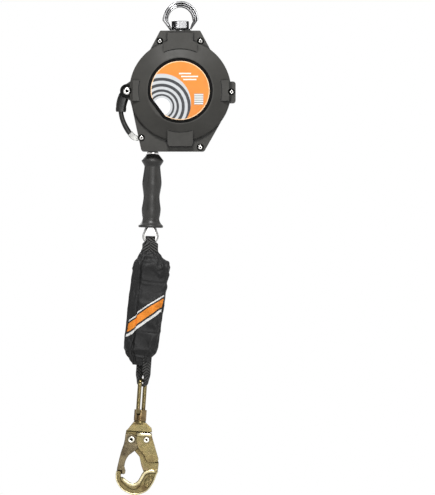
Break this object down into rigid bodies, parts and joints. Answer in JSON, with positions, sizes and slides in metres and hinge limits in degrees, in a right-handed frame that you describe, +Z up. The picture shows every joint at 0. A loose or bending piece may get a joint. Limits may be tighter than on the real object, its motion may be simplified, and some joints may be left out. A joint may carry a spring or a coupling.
{
  "type": "self retracting lifeline",
  "caption": "Self retracting lifeline: cable drum block with swivel eye and carry handle, hand grip, shock pack, swivel and double-locking snap hook.",
  "frame": {"origin": "saddle of the anchor eye, the underside of its bow on the swivel axis, from which the device hangs", "axes": "+Z up along the anchor swivel; -Y towards the labelled front face; +X towards the side away from the carry handle"},
  "size_m": [0.2216, 0.092, 0.9132],
  "materials": {
    "housing": "fine moulded texture, warm dark grey",
    "label": "printed label under clear film",
    "plate": "zinc plated sheet steel",
    "screw": "bright zinc",
    "bronze": "sintered bronze",
    "lining": "brake friction material",
    "spring": "blued spring steel",
    "rubber": "matt black moulded rubber",
    "eye": "polished and plated",
    "drum": "machined",
    "cable": "galvanised wire rope",
    "pawl": "hardened steel",
    "ferrule": "pressed sleeve",
    "webbing": "woven polyester webbing",
    "pack_cloth": "coated nylon cloth",
    "gold": "yellow zinc plated forging",
    "rivet": "pale zinc rivet heads"
  },
  "bodies": {
    "housing": {"front_cover": "housing", "rear_cover": "housing", "front_label": "label", "front_frame_plate": "plate", "rear_frame_plate": "plate", "frame_spacers": "plate", "cover_screws": "screw", "cover_nuts": "screw", "top_bracket": "plate", "thrust_washer": "screw", "front_bearing": "bronze", "rear_bearing": "bronze", "inner_brake_lining": "lining", "outer_brake_lining": "lining", "brake_pressure_plate": "plate", "brake_clamp_screws": "screw", "spring_case": "plate", "spring_case_lid": "plate", "spring_case_screws": "screw", "power_spring": "spring", "outlet_nozzle": "rubber", "outlet_collar": "screw", "handle_boot": "rubber", "handle_grip": "rubber", "handle_strap": "plate", "handle_end_fitting": "screw", "handle_bolt": "screw", "handle_nut": "screw"},
    "anchor": {"anchor_eye": "eye", "swivel_bolt": "eye", "swivel_nut": "screw"},
    "drum": {"main_shaft": "plate", "shaft_circlips": "spring", "cable_drum": "drum", "wound_cable": "cable", "pawl_carrier": "plate", "pawl_pins": "screw", "pawl_springs": "spring"},
    "brake_ring": {"ratchet_ring": "plate"},
    "first_pawl": {"pawl_a": "pawl"},
    "second_pawl": {"pawl_b": "pawl"},
    "line_end": {"cable_run": "cable", "cable_ferrule": "ferrule", "cable_thimble": "screw", "cable_eye": "cable", "hand_grip": "rubber"},
    "neck": {"upper_web_loop": "webbing"},
    "shock_pack": {"pack_cover": "pack_cloth", "tear_webbing": "webbing", "lower_web_loop": "webbing"},
    "link": {"swivel_link": "gold", "swivel_barrel": "gold"},
    "hook": {"hook_body": "gold", "hook_rivets": "rivet", "gate_spring": "spring", "lock_spring": "spring"},
    "hook_gate": {"gate": "gold"},
    "hook_lock": {"lock_lever": "gold"}
  },
  "joints": [
    {"name": "anchor_swivel", "type": "hinge", "parent": "housing", "child": "anchor", "pos_m": [0, 0, -0.0395], "axis": [0, 0, 1], "continuous": true},
    {"name": "lifeline_pull", "type": "slide", "parent": "housing", "child": "line_end", "axis": [-0.0279, 0, -0.9996], "range_m": [0, 9.144], "stiffness_N_per_m": 2, "springref_m": -11},
    {"name": "drum_spin", "type": "hinge", "parent": "housing", "child": "drum", "pos_m": [0, 0, -0.1545], "axis": [0, -1, 0], "continuous": true},
    {"name": "brake_slip", "type": "hinge", "parent": "housing", "child": "brake_ring", "pos_m": [0, -0.0255, -0.1545], "axis": [0, -1, 0], "continuous": true},
    {"name": "pawl_a_throw", "type": "hinge", "parent": "drum", "child": "first_pawl", "pos_m": [0.03599, 0, -0.15369], "axis": [0, 1, 0], "range_deg": [0, 24], "stiffness_Nm_per_rad": 0.01, "springref_deg": -20.05},
    {"name": "pawl_b_throw", "type": "hinge", "parent": "drum", "child": "second_pawl", "pos_m": [-0.03599, 0, -0.15531], "axis": [0, 1, 0], "range_deg": [0, 24], "stiffness_Nm_per_rad": 0.01, "springref_deg": -20.05},
    {"name": "neck_swing", "type": "hinge", "parent": "line_end", "child": "neck", "pos_m": [-0.05554, 0, -0.43456], "axis": [0.9996, 0, -0.0279], "range_deg": [-75, 75]},
    {"name": "pack_sway", "type": "hinge", "parent": "neck", "child": "shock_pack", "pos_m": [-0.05593, 0, -0.44855], "axis": [0, 1, 0], "range_deg": [-12, 12]},
    {"name": "link_swing", "type": "hinge", "parent": "shock_pack", "child": "link", "pos_m": [-0.06954, 0, -0.68972], "axis": [0.3412, 0.9397, -0.0239], "range_deg": [-80, 80]},
    {"name": "hook_swivel", "type": "hinge", "parent": "link", "child": "hook", "pos_m": [-0.07498, 0, -0.76743], "axis": [0.0698, 0, 0.9976], "continuous": true},
    {"name": "gate_swing", "type": "hinge", "parent": "hook", "child": "hook_gate", "pos_m": [-0.09061, 0, -0.79892], "axis": [0, -1, 0], "range_deg": [0, 22], "stiffness_Nm_per_rad": 0.3, "springref_deg": -28.65},
    {"name": "lock_press", "type": "hinge", "parent": "hook", "child": "hook_lock", "pos_m": [-0.06261, 0, -0.79987], "axis": [0, 1, 0], "range_deg": [0, 5], "stiffness_Nm_per_rad": 0.3, "springref_deg": -28.65}
  ],
  "couplings": [
    {"joint": "drum_spin", "follows": "lifeline_pull", "rad_per_m": 20.958}
  ]
}
